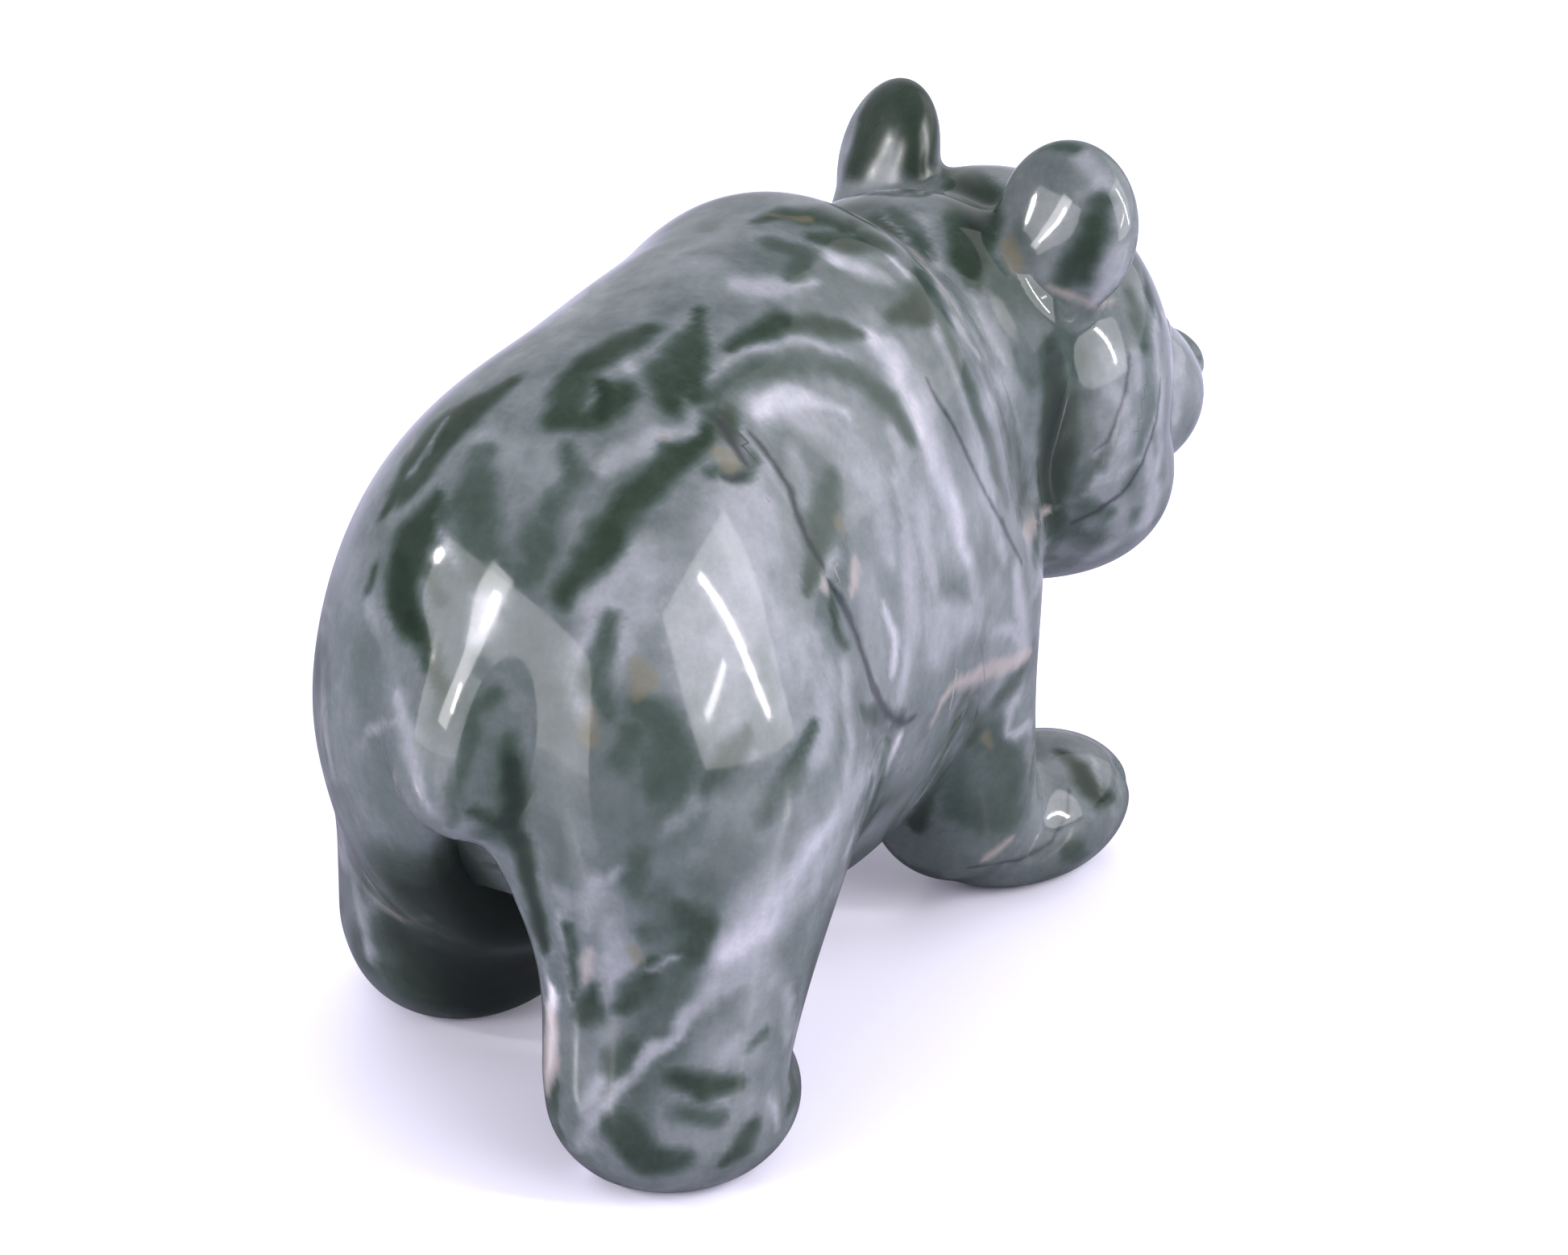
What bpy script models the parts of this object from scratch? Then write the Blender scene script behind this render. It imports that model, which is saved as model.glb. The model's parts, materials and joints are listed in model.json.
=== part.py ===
"""A walking panda carved from one piece of polished stone.

The figure is blocked out as a carver does it, in rounded masses that run into one another, and
is then cut back for the eyes, the mouth, the ears, the toes and the cleft under the tail. It faces
-Y, its right side is -X, and it stands on z = 0 with the middle of its outer box over the origin.

Lengths inside the figure are shares of the carving's length, so LENGTH alone sets its size.
"""

import math

import bmesh
import bpy
import numpy as np
from mathutils import Euler, Matrix

# Real length from the tip of the nose to the back of the rump, in metres.
LENGTH = 0.076

# The figure below is drawn in shares, and measures this many from nose to rump.
SPAN = 99.9
SHARE = LENGTH / SPAN

# Middle of the figure's outer box, in shares, which goes over the origin.
MIDDLE = (2.55, -4.0)

RIGHT = -1
LEFT = 1

# Body: the middle and the three radii of each mass, and how softly it runs into the rest.
RUMP_AT, RUMP = (1.2, 21, 36.8), (19.7, 22, 22.8)
BELLY_AT, BELLY, BELLY_JOIN = (0.5, 4, 35), (20, 24, 27.5), 10
SHOULDER_AT, SHOULDER, SHOULDER_TURN, SHOULDER_JOIN = (1.5, -8.6, 40.9), (17.5, 12.2, 22.3), (-12, 0, 0), 8
CHEST_AT, CHEST, CHEST_JOIN = (-0.5, -17.5, 32), (14, 12, 17), 5
NECK_AT, NECK, NECK_JOIN = (-1.2, -21, 45.1), (14.4, 13, 13.8), 5
TAIL_AT, TAIL, TAIL_TURN, TAIL_JOIN = (0.5, 40.4, 37.6), (6.3, 5, 8.4), (23, 0, 0), 3.2

# Head: it is drawn facing straight ahead around its own middle, then nods and looks right.
HEAD_AT, HEAD_TURN, HEAD_JOIN = (-4, -33, 40.5), (5, 0, -20), 2.2
SKULL_AT, SKULL = (0, 1.3, 0.2), (16.8, 13.8, 17.2)
JAW_AT, JAW, JAW_JOIN = (0, -3.2, -7.8), (14.8, 11, 10), 4
MUZZLE_AT, MUZZLE, MUZZLE_TURN, MUZZLE_JOIN = (0, -12, -3.8), (8.3, 9.8, 7.7), (8, 0, 0), 2.6
NOSE_AT, NOSE, NOSE_TURN, NOSE_JOIN = (0, -20, -1.9), (4, 2.2, 2.6), (-22, 0, 0), 0.3

# What the head has on both sides is given for its left: the right side mirrors it.
EYE_AT, EYE, EYE_JOIN = (6.7, -10.5, 3.6), (1.9, 1.8, 2), 0.2
SOCKET_AT, SOCKET, SOCKET_TURN, SOCKET_EDGE = (7.1, -12.5, 3.7), (3.5, 2.3, 3.2), (0, 0, 25), 1.1
LIP_AT, LIP, LIP_TURN, LIP_EDGE = (2.4, -19, -7.6), (3.2, 4.7, 0.7), (0, 18, -20), 0.45
EAR_AT, EAR, EAR_TURN, EAR_JOIN = (10.9, 4.7, 16.1), (6.2, 3.4, 7), (12, -8, -19), 2.4
HOLLOW_AT, HOLLOW, HOLLOW_EDGE = (11.5, 0.8, 16.7), (4.2, 2.5, 4.9), 0.8
ROOT_AT, ROOT, ROOT_TURN, ROOT_JOIN = (9, 7, 9.5), (4.6, 4.4, 8.5), (16, 10, 0), 3.5

# Each leg: hip or shoulder, heel or wrist, middle of the foot, and how far the toes turn out.
HIND_LEGS = {
    RIGHT: ((-9.9, 27.9, 31), (-10.1, 32, 9), (-9.9, 30.2, 4.8), 0),
    LEFT: ((10, 24, 30), (17, 19.6, 9), (18.2, 16, 4.8), 4),
}
FORE_LEGS = {
    RIGHT: ((-8, -11, 30), (-9, -16, 9), (-11.4, -24.4, 4.8), -18),
    LEFT: ((9, -12, 30), (10, -20, 9), (11, -28, 4.8), 6),
}
THIGH_OUT, THIGH_BEHIND, THIGH = 9.7, -1, (10.5, 16, 19)
SHANK, FOREARM = (12, 9.3), (9.5, 7)
HIND_FOOT, FORE_FOOT = (9.4, 10, 6.6), (7.4, 10.6, 6.2)
HIND_JOIN, FORE_JOIN, SHANK_JOIN, FOOT_JOIN = 8.5, 7, 7, 2.4
CLEFT_AT, CLEFT, CLEFT_EDGE = (1.6, 38, 18), (3.6, 13, 12), 4
TOES = 4
TOE_PITCH, TOE_NOTCH, TOE_NOTCH_UP, TOE_NOTCH_TURN, TOE_EDGE = 3.7, (0.55, 4.6, 3), 0.5, (-35, 0, 0), 0.7

# The stone's skin: facets in the finished solid, and the grain that it is first worked at.
MOST_FACETS = 9400
FIRST_GRAIN, LAST_GRAIN = 1.1, 0.62
CUTS_A_ROUND, DEEPEST_CUT = 3, 2
PROBE, LEAST_STEEPNESS = 0.05, 0.25
SMOOTHING, SMOOTHING_PASSES = 0.5, 2
BALL_FINENESS, BALLS_A_LIMB = 3, 4

STONE_GREEN = (0.21, 0.27, 0.24, 1)
STONE_ROUGHNESS = 0.12


class Egg:
    """A rounded mass: a ball stretched to three radii and turned in degrees about X, Y and Z."""

    def __init__(self, at, radii, turn=(0, 0, 0), frame=Matrix()):
        turned = Euler([math.radians(angle) for angle in turn]).to_matrix().to_4x4()
        self.place = frame @ Matrix.Translation(at) @ turned
        self.radii = np.array(radii, float)

    def depth(self, points):
        """How far each point is outside the mass; a point inside has a number below zero."""
        inward = np.array(self.place.inverted())
        local = points @ inward[:3, :3].T + inward[:3, 3]
        reach = np.linalg.norm(local / self.radii, axis=1)
        slope = np.linalg.norm(local / self.radii**2, axis=1)
        return reach * (reach - 1) / np.maximum(slope, 1e-9)

    def rough_out(self, blank):
        stretch = Matrix.Diagonal((*self.radii, 1))
        bmesh.ops.create_icosphere(
            blank, subdivisions=BALL_FINENESS, radius=1, matrix=self.place @ stretch
        )


class Limb:
    """A tapered column with round ends, from one joint of a leg to the next."""

    def __init__(self, start, end, start_radius, end_radius):
        self.start, self.end = np.array(start, float), np.array(end, float)
        self.radii = start_radius, end_radius

    def depth(self, points):
        axis = self.end - self.start
        length = np.linalg.norm(axis)
        along = (points - self.start) @ axis / length
        across = np.linalg.norm(points - self.start - np.outer(along, axis / length), axis=1)
        lean = (self.radii[0] - self.radii[1]) / length
        upright = math.sqrt(1 - lean * lean)
        # A taper's side faces a little towards its thin end, so its nearest point is behind.
        nearest = np.clip(along - across * lean / upright, 0, length)
        radius = self.radii[0] - nearest * lean
        return np.hypot(across, along - nearest) - radius

    def rough_out(self, blank):
        for share in np.linspace(0, 1, BALLS_A_LIMB):
            place = Matrix.Translation(self.start + (self.end - self.start) * share)
            radius = self.radii[0] + (self.radii[1] - self.radii[0]) * share
            bmesh.ops.create_icosphere(
                blank, subdivisions=BALL_FINENESS, radius=radius, matrix=place
            )


class Carving:
    """Masses joined and cut in order, each softly: a rounded valley is left where two meet."""

    def __init__(self):
        self.steps = []

    def join(self, mass, softness=0):
        self.steps.append((mass, softness, 1))

    def cut(self, mass, softness):
        self.steps.append((mass, softness, -1))

    def depth(self, points):
        first = self.steps[0][0]
        depth = first.depth(points)
        for mass, softness, way in self.steps[1:]:
            depth = way * soft_least(way * depth, mass.depth(points), softness)
        return depth

    def rough_out(self, blank):
        for mass, _, way in self.steps:
            if way > 0:
                mass.rough_out(blank)


def soft_least(one, other, softness):
    """The lesser of two depths, rounded where they cross."""
    meeting = np.maximum(softness - np.abs(one - other), 0) / softness
    return np.minimum(one, other) - meeting**3 * softness / 6


def torso():
    body = Carving()
    body.join(Egg(RUMP_AT, RUMP))
    body.join(Egg(BELLY_AT, BELLY), BELLY_JOIN)
    body.join(Egg(SHOULDER_AT, SHOULDER, SHOULDER_TURN), SHOULDER_JOIN)
    body.join(Egg(CHEST_AT, CHEST), CHEST_JOIN)
    body.join(Egg(NECK_AT, NECK), NECK_JOIN)
    return body


def cut_toes(foot, foot_at, foot_radii, turn_out):
    """Notches across the front of a foot, which part its toes."""
    frame = Matrix.Translation(foot_at) @ Matrix.Rotation(math.radians(turn_out), 4, "Z")
    for notch in range(1, TOES):
        aside = (notch - TOES / 2) * TOE_PITCH
        # The notches follow the round front of the foot.
        ahead = -foot_radii[1] * math.sqrt(1 - (aside / foot_radii[0]) ** 2)
        foot.cut(Egg((aside, ahead, TOE_NOTCH_UP), TOE_NOTCH, TOE_NOTCH_TURN, frame), TOE_EDGE)


def hind_leg(side):
    hip, heel, foot_at, turn_out = HIND_LEGS[side]
    leg = Carving()
    leg.join(Egg((side * THIGH_OUT, hip[1] + THIGH_BEHIND, hip[2]), THIGH))
    leg.join(Limb(hip, heel, *SHANK), SHANK_JOIN)
    leg.join(Egg(foot_at, HIND_FOOT, (0, 0, turn_out)), FOOT_JOIN)
    cut_toes(leg, foot_at, HIND_FOOT, turn_out)
    return leg


def fore_leg(side):
    shoulder, wrist, foot_at, turn_out = FORE_LEGS[side]
    leg = Carving()
    leg.join(Limb(shoulder, wrist, *FOREARM))
    leg.join(Egg(foot_at, FORE_FOOT, (0, 0, turn_out)), FOOT_JOIN)
    cut_toes(leg, foot_at, FORE_FOOT, turn_out)
    return leg


def mirrored(triple, side):
    """A place or the radii that are given for the left, for either side."""
    return (side * triple[0], triple[1], triple[2])


def mirrored_turn(turn, side):
    return (turn[0], side * turn[1], side * turn[2])


def head():
    turned = Euler([math.radians(angle) for angle in HEAD_TURN]).to_matrix().to_4x4()
    frame = Matrix.Translation(HEAD_AT) @ turned
    face = Carving()
    face.join(Egg(SKULL_AT, SKULL, frame=frame))
    face.join(Egg(JAW_AT, JAW, frame=frame), JAW_JOIN)
    face.join(Egg(MUZZLE_AT, MUZZLE, MUZZLE_TURN, frame), MUZZLE_JOIN)
    face.join(Egg(NOSE_AT, NOSE, NOSE_TURN, frame), NOSE_JOIN)
    for side in (RIGHT, LEFT):
        socket = Egg(mirrored(SOCKET_AT, side), SOCKET, mirrored_turn(SOCKET_TURN, side), frame)
        face.cut(socket, SOCKET_EDGE)
        face.join(Egg(mirrored(EYE_AT, side), EYE, frame=frame), EYE_JOIN)
        # The mouth is two notches that fall away from under the nose.
        lip = Egg(mirrored(LIP_AT, side), LIP, mirrored_turn(LIP_TURN, side), frame)
        face.cut(lip, LIP_EDGE)
        # Each ear grows from a broad root that runs down into the nape.
        root = Egg(mirrored(ROOT_AT, side), ROOT, mirrored_turn(ROOT_TURN, side), frame)
        face.join(root, ROOT_JOIN)
        face.join(ear(side, frame), EAR_JOIN)
    return face


def ear(side, frame):
    """A flat round ear, which stands up and is hollowed in front."""
    turn = mirrored_turn(EAR_TURN, side)
    shell = Carving()
    shell.join(Egg(mirrored(EAR_AT, side), EAR, turn, frame))
    shell.cut(Egg(mirrored(HOLLOW_AT, side), HOLLOW, turn, frame), HOLLOW_EDGE)
    return shell


def figure():
    panda = torso()
    for side in (RIGHT, LEFT):
        panda.join(hind_leg(side), HIND_JOIN)
        panda.join(fore_leg(side), FORE_JOIN)
    # The tail hangs over the cleft that is cut between the hind legs.
    panda.cut(Egg(CLEFT_AT, CLEFT), CLEFT_EDGE)
    panda.join(head(), HEAD_JOIN)
    panda.join(Egg(TAIL_AT, TAIL, TAIL_TURN), TAIL_JOIN)
    return panda


def rough_block(panda):
    """All the masses of the figure in one object, each still a ball or an egg of its own."""
    blank = bmesh.new()
    panda.rough_out(blank)
    mesh = bpy.data.meshes.new("panda")
    blank.to_mesh(mesh)
    blank.free()
    block = bpy.data.objects.new("panda", mesh)
    collection = bpy.data.collections.new("crystal panda carving")
    bpy.context.scene.collection.children.link(collection)
    collection.objects.link(block)
    return block


def apply_modifier(block, kind, **settings):
    modifier = block.modifiers.new(kind.title(), kind)
    for name, value in settings.items():
        setattr(modifier, name, value)
    shown = block.evaluated_get(bpy.context.evaluated_depsgraph_get())
    worked = bpy.data.meshes.new_from_object(shown)
    block.modifiers.clear()
    block.data = worked


def work_down(block, panda, rounds):
    """Moves the skin along the figure's own slope until it lies on it, evening it out on the way."""
    for _ in range(rounds):
        apply_modifier(block, "SMOOTH", factor=SMOOTHING, iterations=SMOOTHING_PASSES)
        mesh = block.data
        points = np.empty(len(mesh.vertices) * 3, np.float32)
        mesh.vertices.foreach_get("co", points)
        points = points.reshape(-1, 3).astype(float)
        for _ in range(CUTS_A_ROUND):
            depth = panda.depth(points)
            ways = np.eye(3) * PROBE
            slope = np.stack([panda.depth(points + way) - depth for way in ways], 1) / PROBE
            steepness = np.maximum((slope**2).sum(axis=1), LEAST_STEEPNESS)
            points -= slope * np.clip(depth / steepness, -DEEPEST_CUT, DEEPEST_CUT)[:, None]
        mesh.vertices.foreach_set("co", points.astype(np.float32).ravel())
        mesh.update()


def flatten_soles(block):
    """Cuts the feet off flat where they stand, and closes each cut with one face."""
    solid = bmesh.new()
    solid.from_mesh(block.data)
    everything = solid.verts[:] + solid.edges[:] + solid.faces[:]
    bmesh.ops.bisect_plane(
        solid, geom=everything, dist=1e-6, plane_co=(0, 0, 0), plane_no=(0, 0, -1), clear_outer=True
    )
    open_edges = [edge for edge in solid.edges if edge.is_boundary]
    bmesh.ops.holes_fill(solid, edges=open_edges)
    bmesh.ops.recalc_face_normals(solid, faces=solid.faces)
    solid.to_mesh(block.data)
    solid.free()


def stone():
    material = bpy.data.materials.new("polished green stone")
    material.use_nodes = True
    shader = material.node_tree.nodes["Principled BSDF"]
    shader.inputs["Base Color"].default_value = STONE_GREEN
    shader.inputs["Roughness"].default_value = STONE_ROUGHNESS
    shader.inputs["Metallic"].default_value = 0
    return material


for leftover in list(bpy.data.objects):
    bpy.data.objects.remove(leftover)

whole = figure()
carving = rough_block(whole)
apply_modifier(carving, "REMESH", mode="VOXEL", voxel_size=FIRST_GRAIN)
work_down(carving, whole, rounds=3)
apply_modifier(carving, "REMESH", mode="VOXEL", voxel_size=LAST_GRAIN)
work_down(carving, whole, rounds=2)
triangles = 2 * len(carving.data.polygons)
apply_modifier(carving, "DECIMATE", ratio=MOST_FACETS / triangles, use_collapse_triangulate=True)
flatten_soles(carving)
to_metres = Matrix.Scale(SHARE, 4) @ Matrix.Translation((-MIDDLE[0], -MIDDLE[1], 0))
carving.data.transform(to_metres)
carving.data.shade_smooth()
carving.data.materials.append(stone())
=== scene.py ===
"""A walking panda carved from one piece of polished green stone, seen on a pale studio floor."""

import json
import math

import bmesh
import bpy
import numpy as np
from mathutils import Euler, Matrix, Quaternion, Vector
from mathutils.bvhtree import BVHTree
from mathutils.noise import noise_vector

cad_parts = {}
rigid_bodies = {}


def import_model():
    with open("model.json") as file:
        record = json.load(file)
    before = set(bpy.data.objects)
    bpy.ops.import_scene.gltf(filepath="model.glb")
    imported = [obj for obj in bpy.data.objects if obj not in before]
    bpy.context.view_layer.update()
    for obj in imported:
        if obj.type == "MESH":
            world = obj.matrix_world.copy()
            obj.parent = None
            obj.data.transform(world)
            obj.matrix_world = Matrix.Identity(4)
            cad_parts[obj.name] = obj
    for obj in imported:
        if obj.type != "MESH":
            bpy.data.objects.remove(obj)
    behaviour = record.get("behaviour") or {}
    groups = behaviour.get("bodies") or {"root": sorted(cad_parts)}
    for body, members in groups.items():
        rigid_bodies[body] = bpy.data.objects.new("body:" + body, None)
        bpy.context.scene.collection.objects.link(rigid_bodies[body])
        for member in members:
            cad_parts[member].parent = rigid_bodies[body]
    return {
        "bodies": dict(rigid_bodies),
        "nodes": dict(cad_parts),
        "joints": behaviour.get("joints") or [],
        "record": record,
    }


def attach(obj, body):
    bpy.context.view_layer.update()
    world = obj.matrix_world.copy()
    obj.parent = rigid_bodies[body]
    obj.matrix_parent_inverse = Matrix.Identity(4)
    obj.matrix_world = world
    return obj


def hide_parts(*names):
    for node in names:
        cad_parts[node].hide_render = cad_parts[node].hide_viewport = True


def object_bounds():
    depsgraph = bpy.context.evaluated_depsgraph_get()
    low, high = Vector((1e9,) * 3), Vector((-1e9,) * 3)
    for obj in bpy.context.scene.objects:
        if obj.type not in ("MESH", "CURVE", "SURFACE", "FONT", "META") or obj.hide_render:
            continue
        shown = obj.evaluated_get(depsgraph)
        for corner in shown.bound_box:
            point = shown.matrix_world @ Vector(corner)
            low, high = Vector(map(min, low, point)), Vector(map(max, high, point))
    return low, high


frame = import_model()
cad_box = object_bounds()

# The carving's form. The real one is a single piece of stone, blocked out in rounded masses that
# run into one another, then cut back for the eyes, mouth, ears and toes. It is drawn in shares of
# its length, facing -Y, with its right side at -X and its feet on z = 0.

SPAN = 99.9
SHARE = (cad_box[1].y - cad_box[0].y) / SPAN
MIDDLE = (2.55, -4.0)

RIGHT = -1
LEFT = 1

# Body: the middle and the three radii of each mass, and how softly it runs into the rest.
RUMP_AT, RUMP = (1.2, 21, 36.8), (19.7, 22, 22.8)
BELLY_AT, BELLY, BELLY_JOIN = (0.5, 4, 35), (20, 24, 27.5), 10
SHOULDER_AT, SHOULDER, SHOULDER_TURN, SHOULDER_JOIN = (1.5, -8.6, 40.9), (17.5, 12.2, 22.3), (-12, 0, 0), 8
CHEST_AT, CHEST, CHEST_JOIN = (-0.5, -17.5, 32), (14, 12, 17), 5
NECK_AT, NECK, NECK_JOIN = (-1.2, -21, 45.1), (14.4, 13, 13.8), 5
TAIL_AT, TAIL, TAIL_TURN, TAIL_JOIN = (0.5, 40.4, 37.6), (6.3, 5, 8.4), (23, 0, 0), 3.2

# Head: it is drawn facing straight ahead around its own middle, then nods and looks right.
HEAD_AT, HEAD_TURN, HEAD_JOIN = (-4, -33, 40.5), (5, 0, -20), 2.2
SKULL_AT, SKULL = (0, 1.3, 0.2), (16.8, 13.8, 17.2)
JAW_AT, JAW, JAW_JOIN = (0, -3.2, -7.8), (14.8, 11, 10), 4
MUZZLE_AT, MUZZLE, MUZZLE_TURN, MUZZLE_JOIN = (0, -12, -3.8), (8.3, 9.8, 7.7), (8, 0, 0), 2.6
NOSE_AT, NOSE, NOSE_TURN, NOSE_JOIN = (0, -20, -1.9), (4, 2.2, 2.6), (-22, 0, 0), 0.3

# What the head has on both sides is given for its left: the right side mirrors it.
EYE_AT, EYE, EYE_JOIN = (6.7, -10.5, 3.6), (1.9, 1.8, 2), 0.2
SOCKET_AT, SOCKET, SOCKET_TURN, SOCKET_EDGE = (7.1, -12.5, 3.7), (3.5, 2.3, 3.2), (0, 0, 25), 1.1
LIP_AT, LIP, LIP_TURN, LIP_EDGE = (2.4, -19, -7.6), (3.2, 4.7, 0.7), (0, 18, -20), 0.45
EAR_AT, EAR, EAR_TURN, EAR_JOIN = (10.9, 4.7, 16.1), (6.2, 3.4, 7), (12, -8, -19), 2.4
HOLLOW_AT, HOLLOW, HOLLOW_EDGE = (11.5, 0.8, 16.7), (4.2, 2.5, 4.9), 0.8
ROOT_AT, ROOT, ROOT_TURN, ROOT_JOIN = (9, 7, 9.5), (4.6, 4.4, 8.5), (16, 10, 0), 3.5

# Each leg: hip or shoulder, heel or wrist, middle of the foot, and how far the toes turn out.
HIND_LEGS = {
    RIGHT: ((-9.9, 27.9, 31), (-10.1, 32, 9), (-9.9, 30.2, 4.8), 0),
    LEFT: ((10, 24, 30), (17, 19.6, 9), (18.2, 16, 4.8), 4),
}
FORE_LEGS = {
    RIGHT: ((-8, -11, 30), (-9, -16, 9), (-11.4, -24.4, 4.8), -18),
    LEFT: ((9, -12, 30), (10, -20, 9), (11, -28, 4.8), 6),
}
THIGH_OUT, THIGH_BEHIND, THIGH = 9.7, -1, (10.5, 16, 19)
SHANK, FOREARM = (12, 9.3), (9.5, 7)
HIND_FOOT, FORE_FOOT = (9.4, 10, 6.6), (7.4, 10.6, 6.2)
HIND_JOIN, FORE_JOIN, SHANK_JOIN, FOOT_JOIN = 8.5, 7, 7, 2.4
CLEFT_AT, CLEFT, CLEFT_EDGE = (1.6, 38, 18), (3.6, 13, 12), 4
TOES = 4
TOE_PITCH, TOE_NOTCH, TOE_NOTCH_UP, TOE_NOTCH_TURN, TOE_EDGE = 3.7, (0.55, 4.6, 3), 0.5, (-35, 0, 0), 0.7


class Egg:
    """A rounded mass: a ball stretched to three radii and turned in degrees about X, Y and Z."""

    def __init__(self, at, radii, turn=(0, 0, 0), frame=Matrix()):
        turned = Euler([math.radians(angle) for angle in turn]).to_matrix().to_4x4()
        self.place = frame @ Matrix.Translation(at) @ turned
        self.radii = np.array(radii, float)

    def depth(self, points):
        """How far each point is outside the mass; a point inside has a number below zero."""
        inward = np.array(self.place.inverted())
        local = points @ inward[:3, :3].T + inward[:3, 3]
        reach = np.linalg.norm(local / self.radii, axis=1)
        slope = np.linalg.norm(local / self.radii**2, axis=1)
        return reach * (reach - 1) / np.maximum(slope, 1e-9)


class Limb:
    """A tapered column with round ends, from one joint of a leg to the next."""

    def __init__(self, start, end, start_radius, end_radius):
        self.start, self.end = np.array(start, float), np.array(end, float)
        self.radii = start_radius, end_radius

    def depth(self, points):
        axis = self.end - self.start
        length = np.linalg.norm(axis)
        along = (points - self.start) @ axis / length
        across = np.linalg.norm(points - self.start - np.outer(along, axis / length), axis=1)
        lean = (self.radii[0] - self.radii[1]) / length
        upright = math.sqrt(1 - lean * lean)
        # A taper's side faces a little towards its thin end, so its nearest point is behind.
        nearest = np.clip(along - across * lean / upright, 0, length)
        radius = self.radii[0] - nearest * lean
        return np.hypot(across, along - nearest) - radius


class Carving:
    """Masses joined and cut in order, each softly: a rounded valley is left where two meet."""

    def __init__(self):
        self.steps = []

    def join(self, mass, softness=0):
        self.steps.append((mass, softness, 1))

    def cut(self, mass, softness):
        self.steps.append((mass, softness, -1))

    def depth(self, points):
        first = self.steps[0][0]
        depth = first.depth(points)
        for mass, softness, way in self.steps[1:]:
            depth = way * soft_least(way * depth, mass.depth(points), softness)
        return depth


def soft_least(one, other, softness):
    """The lesser of two depths, rounded where they cross."""
    meeting = np.maximum(softness - np.abs(one - other), 0) / softness
    return np.minimum(one, other) - meeting**3 * softness / 6


def torso():
    body = Carving()
    body.join(Egg(RUMP_AT, RUMP))
    body.join(Egg(BELLY_AT, BELLY), BELLY_JOIN)
    body.join(Egg(SHOULDER_AT, SHOULDER, SHOULDER_TURN), SHOULDER_JOIN)
    body.join(Egg(CHEST_AT, CHEST), CHEST_JOIN)
    body.join(Egg(NECK_AT, NECK), NECK_JOIN)
    return body


def cut_toes(foot, foot_at, foot_radii, turn_out):
    """Notches across the front of a foot, which part its toes."""
    frame = Matrix.Translation(foot_at) @ Matrix.Rotation(math.radians(turn_out), 4, "Z")
    for notch in range(1, TOES):
        aside = (notch - TOES / 2) * TOE_PITCH
        # The notches follow the round front of the foot.
        ahead = -foot_radii[1] * math.sqrt(1 - (aside / foot_radii[0]) ** 2)
        foot.cut(Egg((aside, ahead, TOE_NOTCH_UP), TOE_NOTCH, TOE_NOTCH_TURN, frame), TOE_EDGE)


def hind_leg(side):
    hip, heel, foot_at, turn_out = HIND_LEGS[side]
    leg = Carving()
    leg.join(Egg((side * THIGH_OUT, hip[1] + THIGH_BEHIND, hip[2]), THIGH))
    leg.join(Limb(hip, heel, *SHANK), SHANK_JOIN)
    leg.join(Egg(foot_at, HIND_FOOT, (0, 0, turn_out)), FOOT_JOIN)
    cut_toes(leg, foot_at, HIND_FOOT, turn_out)
    return leg


def fore_leg(side):
    shoulder, wrist, foot_at, turn_out = FORE_LEGS[side]
    leg = Carving()
    leg.join(Limb(shoulder, wrist, *FOREARM))
    leg.join(Egg(foot_at, FORE_FOOT, (0, 0, turn_out)), FOOT_JOIN)
    cut_toes(leg, foot_at, FORE_FOOT, turn_out)
    return leg


def mirrored(triple, side):
    """A place or the radii that are given for the left, for either side."""
    return (side * triple[0], triple[1], triple[2])


def mirrored_turn(turn, side):
    return (turn[0], side * turn[1], side * turn[2])


def head():
    turned = Euler([math.radians(angle) for angle in HEAD_TURN]).to_matrix().to_4x4()
    frame = Matrix.Translation(HEAD_AT) @ turned
    face = Carving()
    face.join(Egg(SKULL_AT, SKULL, frame=frame))
    face.join(Egg(JAW_AT, JAW, frame=frame), JAW_JOIN)
    face.join(Egg(MUZZLE_AT, MUZZLE, MUZZLE_TURN, frame), MUZZLE_JOIN)
    face.join(Egg(NOSE_AT, NOSE, NOSE_TURN, frame), NOSE_JOIN)
    for side in (RIGHT, LEFT):
        socket = Egg(mirrored(SOCKET_AT, side), SOCKET, mirrored_turn(SOCKET_TURN, side), frame)
        face.cut(socket, SOCKET_EDGE)
        face.join(Egg(mirrored(EYE_AT, side), EYE, frame=frame), EYE_JOIN)
        # The mouth is two notches that fall away from under the nose.
        lip = Egg(mirrored(LIP_AT, side), LIP, mirrored_turn(LIP_TURN, side), frame)
        face.cut(lip, LIP_EDGE)
        # Each ear grows from a broad root that runs down into the nape.
        root = Egg(mirrored(ROOT_AT, side), ROOT, mirrored_turn(ROOT_TURN, side), frame)
        face.join(root, ROOT_JOIN)
        face.join(ear(side, frame), EAR_JOIN)
    return face


def ear(side, frame):
    """A flat round ear, which stands up and is hollowed in front."""
    turn = mirrored_turn(EAR_TURN, side)
    shell = Carving()
    shell.join(Egg(mirrored(EAR_AT, side), EAR, turn, frame))
    shell.cut(Egg(mirrored(HOLLOW_AT, side), HOLLOW, turn, frame), HOLLOW_EDGE)
    return shell


def figure():
    panda = torso()
    for side in (RIGHT, LEFT):
        panda.join(hind_leg(side), HIND_JOIN)
        panda.join(fore_leg(side), FORE_JOIN)
    # The tail hangs over the cleft that is cut between the hind legs.
    panda.cut(Egg(CLEFT_AT, CLEFT), CLEFT_EDGE)
    panda.join(head(), HEAD_JOIN)
    panda.join(Egg(TAIL_AT, TAIL, TAIL_TURN), TAIL_JOIN)
    return panda


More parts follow.
